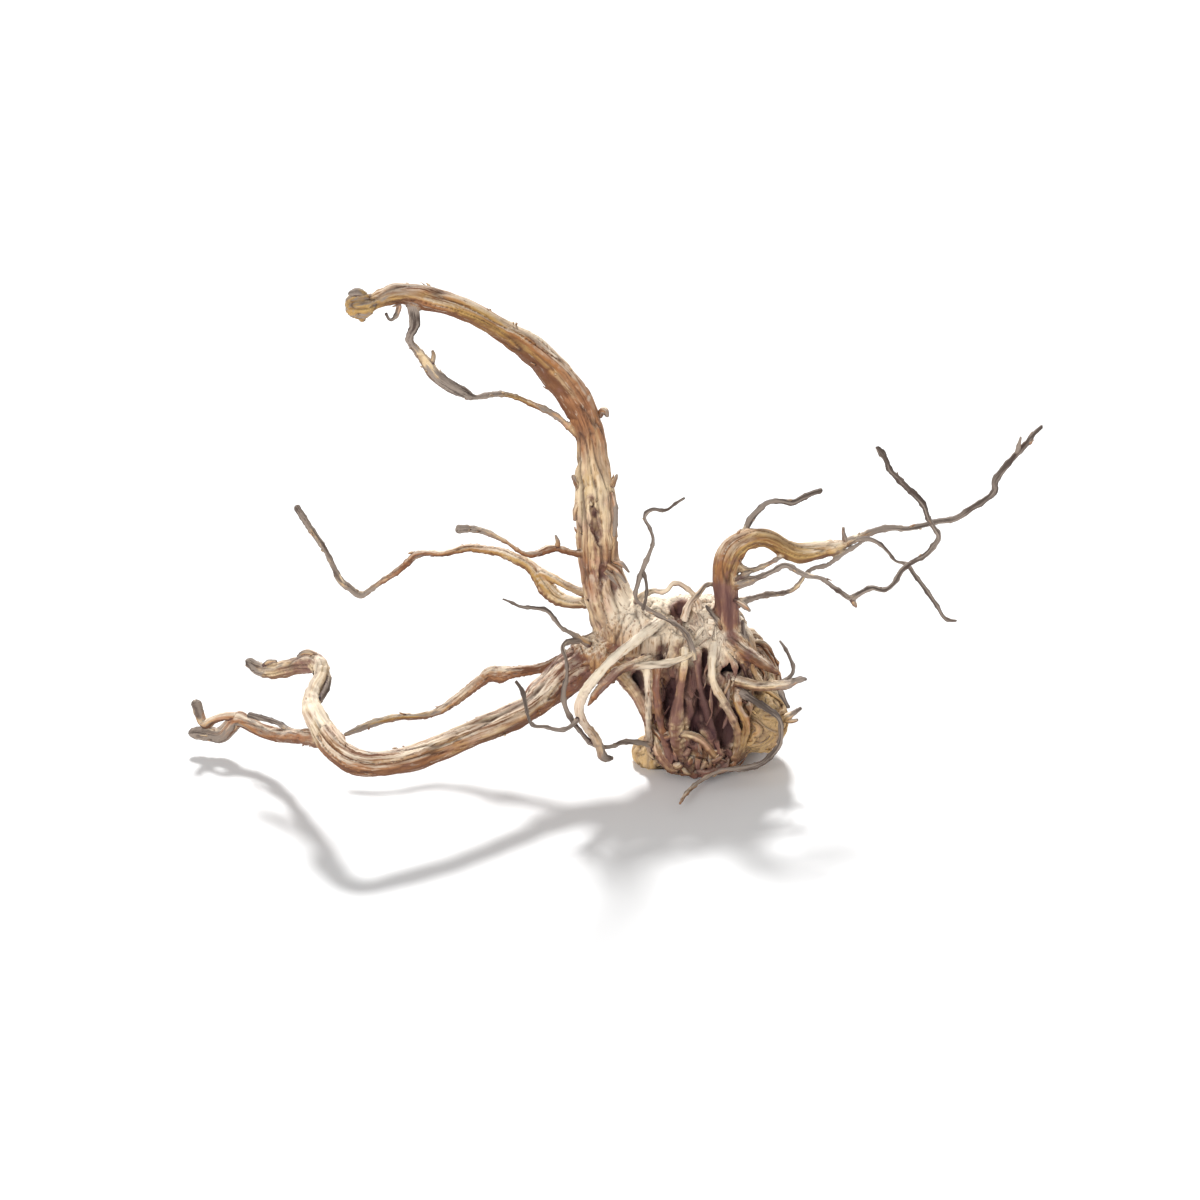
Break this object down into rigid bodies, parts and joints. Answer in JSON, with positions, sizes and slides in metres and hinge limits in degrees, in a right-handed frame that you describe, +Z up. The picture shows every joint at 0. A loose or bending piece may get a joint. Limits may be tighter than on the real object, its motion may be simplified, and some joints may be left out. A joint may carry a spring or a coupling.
{
  "type": "piece of driftwood",
  "caption": "Weathered branching root wood: a knotted crown with a tall curved stem, a long reaching limb and thin crooked twigs, standing on the crown's flat underside.",
  "frame": {"origin": "middle of the flat spot under the crown, which the piece stands on", "axes": "+Z up; +X from the long limb's tip towards the far twig; +Y away from a viewer in front"},
  "size_m": [0.426, 0.1939, 0.2605],
  "materials": {
    "weathered_wood": "dry, stripped of bark and bleached, with brown grain and dark twig tips"
  },
  "bodies": {
    "root": {"driftwood": "weathered_wood"}
  },
  "joints": []
}
